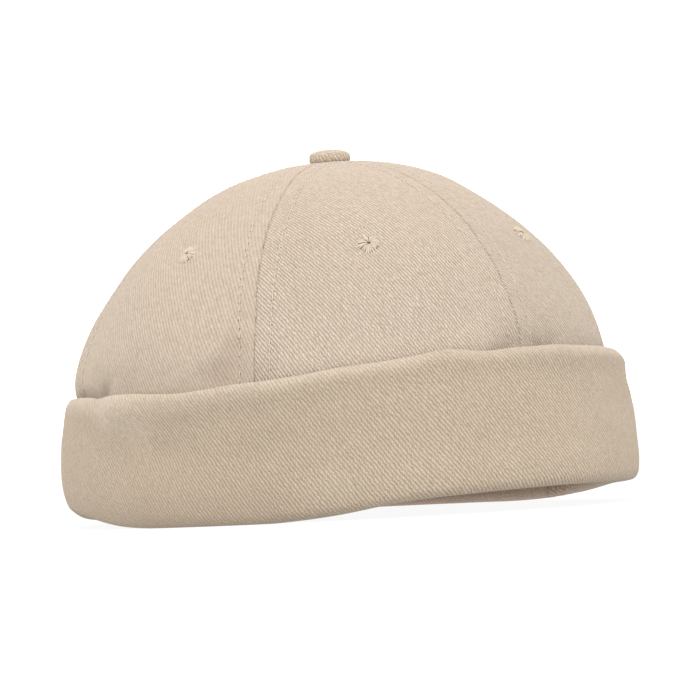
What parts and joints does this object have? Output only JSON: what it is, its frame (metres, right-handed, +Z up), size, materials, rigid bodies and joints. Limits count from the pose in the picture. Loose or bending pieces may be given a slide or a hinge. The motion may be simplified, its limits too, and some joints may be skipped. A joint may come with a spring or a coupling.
{
  "type": "docker cap",
  "caption": "Brimless cotton docker cap with a panelled crown, a covered top button, sewn eyelets and a turned-up cuff.",
  "frame": {"origin": "on the surface the cap rests on, under the middle of the whole cap", "axes": "+Z up towards the button, -Y towards the cap's front, +X towards the wearer's left"},
  "size_m": [0.1849, 0.2119, 0.1238],
  "materials": {
    "cotton_twill": "brushed cotton twill, matt",
    "eyelet_thread": "satin-stitched thread"
  },
  "bodies": {
    "root": {"panel_back_right": "cotton_twill", "panel_side_right": "cotton_twill", "panel_front_right": "cotton_twill", "panel_front_left": "cotton_twill", "panel_side_left": "cotton_twill", "panel_back_left": "cotton_twill", "button": "cotton_twill", "cuff": "cotton_twill", "eyelet_back_right": "eyelet_thread", "eyelet_side_right": "eyelet_thread", "eyelet_front_right": "eyelet_thread", "eyelet_front_left": "eyelet_thread", "eyelet_side_left": "eyelet_thread", "eyelet_back_left": "eyelet_thread"}
  },
  "joints": []
}
